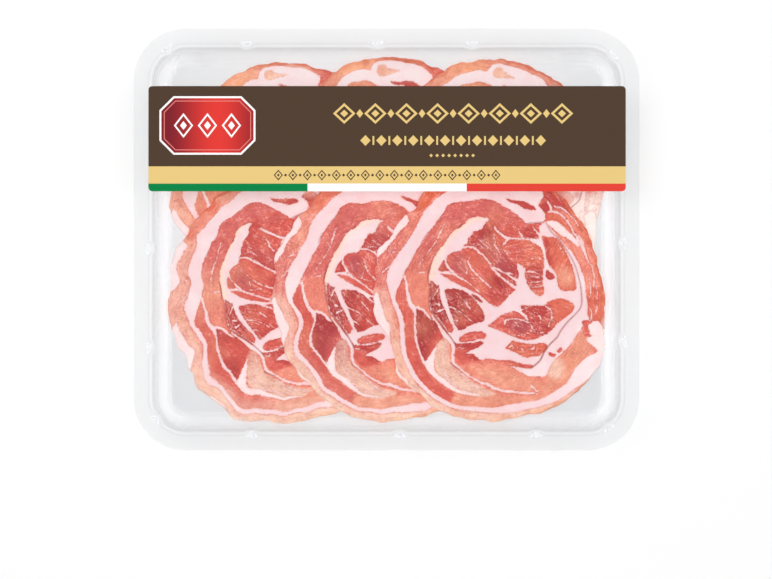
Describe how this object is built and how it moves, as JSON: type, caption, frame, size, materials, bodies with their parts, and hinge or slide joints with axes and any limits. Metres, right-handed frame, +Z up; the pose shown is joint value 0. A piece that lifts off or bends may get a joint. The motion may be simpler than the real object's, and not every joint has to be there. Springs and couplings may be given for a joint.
{
  "type": "sliced pancetta pack",
  "caption": "Shut shallow clear tray of thin round slices of rolled cured pork belly, shingled in two rows under a clear film with a printed band label.",
  "frame": {"origin": "centre of the flat face that the tray rests on", "axes": "+X along the long side of the tray, +Y towards the side with the label, +Z up out of the tray"},
  "size_m": [0.253, 0.211, 0.016],
  "materials": {
    "tray": "clear formed sheet with a faint milky haze, glossy",
    "film": "clear, glossy",
    "label": "printed in flat colours, satin",
    "meat": "marbled red lean and white fat, moist sheen"
  },
  "bodies": {
    "root": {"tray": "tray", "film": "film", "label": "label", "slice_back_left": "meat", "slice_back_middle": "meat", "slice_back_right": "meat", "slice_front_left": "meat", "slice_front_middle": "meat", "slice_front_right": "meat"}
  },
  "joints": []
}
